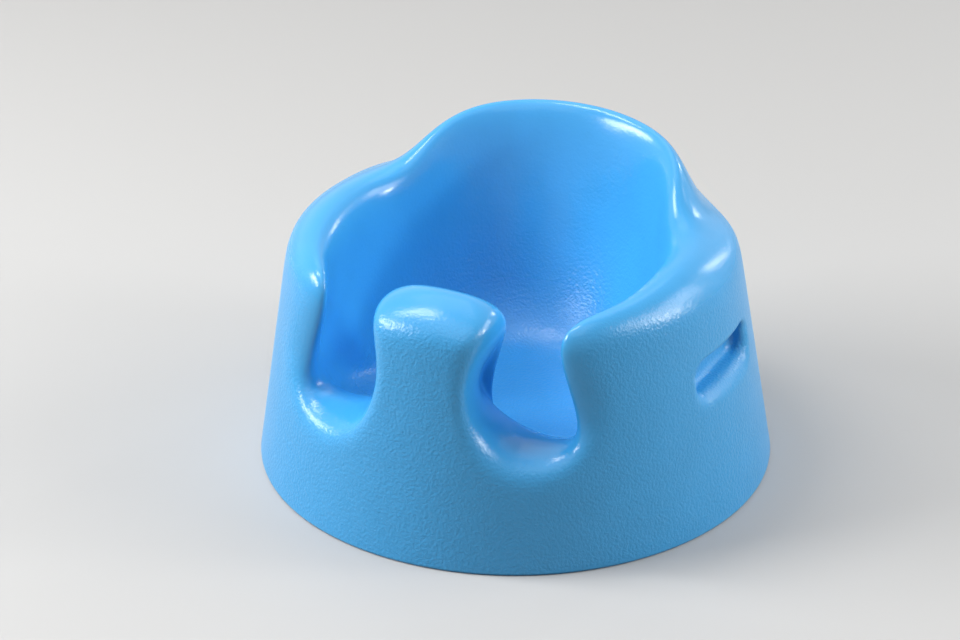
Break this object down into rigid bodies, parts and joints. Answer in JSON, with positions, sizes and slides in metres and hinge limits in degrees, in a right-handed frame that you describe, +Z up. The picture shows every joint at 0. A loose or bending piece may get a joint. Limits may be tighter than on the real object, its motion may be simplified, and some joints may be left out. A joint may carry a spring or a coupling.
{
  "type": "baby floor seat",
  "caption": "Round moulded-foam floor seat for a baby, with a backrest, armrests, a front pommel between leg openings, and side slots for a tray.",
  "frame": {"origin": "middle of the round underside, on the floor", "axes": "+Z up; -Y towards the front, where the pommel stands; +X to the sitter's left"},
  "size_m": [0.3749, 0.375, 0.2212],
  "materials": {
    "skin": "semi-gloss moulded skin with a fine pebbled grain",
    "slot_lining": "semi-gloss moulded skin, smooth",
    "foam": "soft closed foam, hidden inside the skin"
  },
  "bodies": {
    "root": {"foam_core": "foam", "seat_skin": "skin", "base_skin": "skin", "left_slot_skin": "slot_lining", "right_slot_skin": "slot_lining"}
  },
  "joints": []
}
